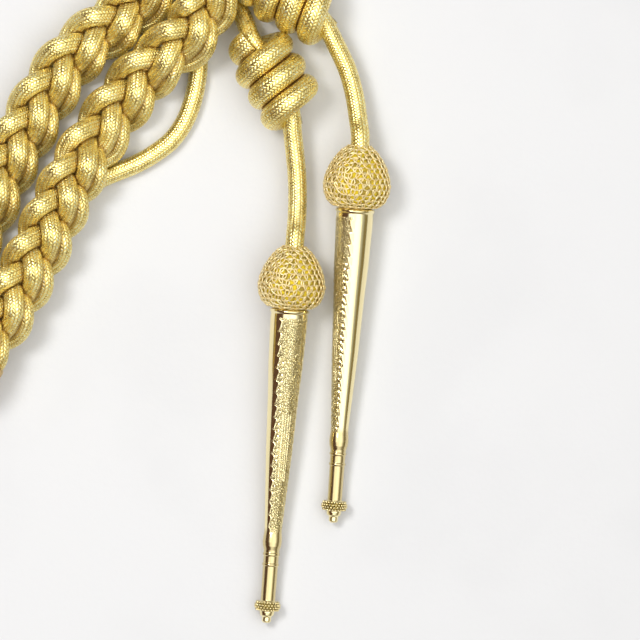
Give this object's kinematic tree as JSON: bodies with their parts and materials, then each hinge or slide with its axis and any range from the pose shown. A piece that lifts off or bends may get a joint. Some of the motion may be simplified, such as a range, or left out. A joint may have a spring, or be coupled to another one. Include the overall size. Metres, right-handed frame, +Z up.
{
  "type": "dress uniform aiguillette",
  "caption": "Lower end of a gold cord aiguillette: plaited cords side by side, a plain cord, and corded needle tags with barrel knots and net caps.",
  "frame": {"origin": "on the surface that the object lies on, below the middle of its bounding box", "axes": "+Z up from the surface, +Y away from the tags' tips, along the tags, +X towards the tags' side"},
  "size_m": [0.1696, 0.2372, 0.0256],
  "materials": {
    "gold_cord": "gold wire braided over a cotton core",
    "gold_net": "gold wire net over yellow silk",
    "tag_brass": "polished, engraved",
    "plain_gold": "plain woven gold braid"
  },
  "bodies": {
    "root": {"outer_plait": "gold_cord", "inner_plait": "gold_cord", "plain_cord": "gold_cord", "left_tail_cord": "gold_cord", "right_tail_cord": "gold_cord", "left_knot": "gold_cord", "right_knot": "gold_cord", "left_net_cap": "gold_net", "right_net_cap": "gold_net", "left_tag": "tag_brass", "right_tag": "tag_brass", "outer_collar": "plain_gold", "inner_collar": "plain_gold", "shoulder_band": "plain_gold"}
  },
  "joints": []
}
